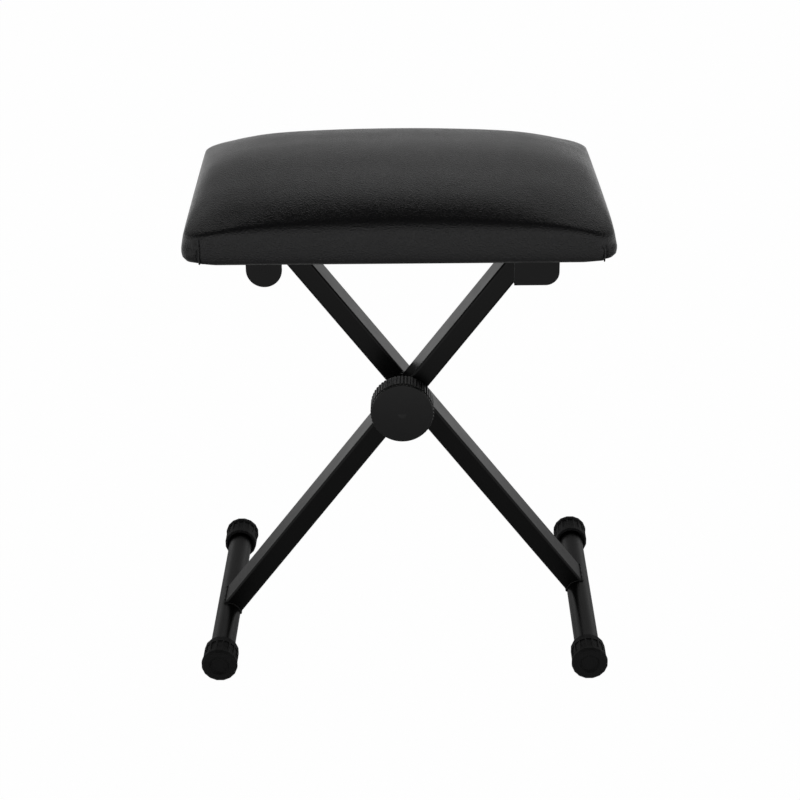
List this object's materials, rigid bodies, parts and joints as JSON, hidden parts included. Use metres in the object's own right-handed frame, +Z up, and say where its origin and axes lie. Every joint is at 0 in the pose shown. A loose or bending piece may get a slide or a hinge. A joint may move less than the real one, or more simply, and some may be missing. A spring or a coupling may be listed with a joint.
{
  "type": "folding keyboard bench",
  "caption": "Folding X-frame bench with a padded rectangular seat, clamped crossing knob and rubber-capped feet.",
  "frame": {"origin": "floor, at the bottom centre of the bench", "axes": "+Z up, +X to the player's right seen from the front, -Y to the front where the knob is"},
  "size_m": [0.411, 0.29, 0.5102],
  "materials": {
    "black_paint": "satin black powder coat",
    "zinc_steel": "zinc plated",
    "cap_rubber": "matt",
    "nylon": "moulded",
    "knob_plastic": "satin moulded",
    "insert_brass": "turned",
    "plywood": "bare plywood",
    "seat_vinyl": "fine-grained black vinyl",
    "foam": "open-cell foam",
    "backing_cloth": "non-woven cloth"
  },
  "bodies": {
    "rear_leg_frame": {"rear_leg": "black_paint", "left_cross_tube": "black_paint", "left_tube_bushes": "nylon", "right_foot_tube": "black_paint", "right_front_foot_cap": "cap_rubber", "right_rear_foot_cap": "cap_rubber", "rear_lock_disc": "black_paint", "rear_pivot_sleeve": "zinc_steel", "pivot_bolt": "zinc_steel"},
    "front_leg_frame": {"front_leg": "black_paint", "right_cross_tube": "black_paint", "right_tube_glides": "nylon", "left_foot_tube": "black_paint", "left_front_foot_cap": "cap_rubber", "left_rear_foot_cap": "cap_rubber", "front_lock_disc": "black_paint", "front_pivot_sleeve": "zinc_steel", "steel_washer": "zinc_steel"},
    "seat": {"front_pivot_bracket": "black_paint", "rear_pivot_bracket": "black_paint", "front_slide_bracket": "black_paint", "rear_slide_bracket": "black_paint", "pivot_studs": "black_paint", "slide_liners": "nylon", "bracket_screws": "zinc_steel", "board_tee_nuts": "zinc_steel", "seat_board": "plywood", "seat_foam": "foam", "seat_cover": "seat_vinyl", "dust_cloth": "backing_cloth"},
    "knob_washer": {"thrust_washer": "nylon"},
    "knob": {"knob_body": "knob_plastic", "knob_cap": "knob_plastic", "knob_insert": "insert_brass"}
  },
  "joints": [
    {"name": "seat_pivot", "type": "hinge", "parent": "rear_leg_frame", "child": "seat", "pos_m": [-0.12827, 0, 0.42951], "axis": [0, -1, 0], "range_deg": [-0.74, 32.5]},
    {"name": "scissor_pivot", "type": "hinge", "parent": "rear_leg_frame", "child": "front_leg_frame", "pos_m": [0, 0, 0.26235], "axis": [0, -1, 0], "range_deg": [-1.48, 65]},
    {"name": "knob_travel", "type": "slide", "parent": "rear_leg_frame", "child": "knob_washer", "axis": [0, -1, 0], "range_m": [0, 0.0025]},
    {"name": "knob_turn", "type": "hinge", "parent": "knob_washer", "child": "knob", "pos_m": [0, -0.05, 0.26235], "axis": [0, -1, 0], "range_deg": [0, 720]}
  ],
  "couplings": [
    {"joint": "scissor_pivot", "follows": "seat_pivot", "ratio": 2},
    {"joint": "knob_travel", "follows": "knob_turn", "m_per_rad": 0.00019892}
  ]
}
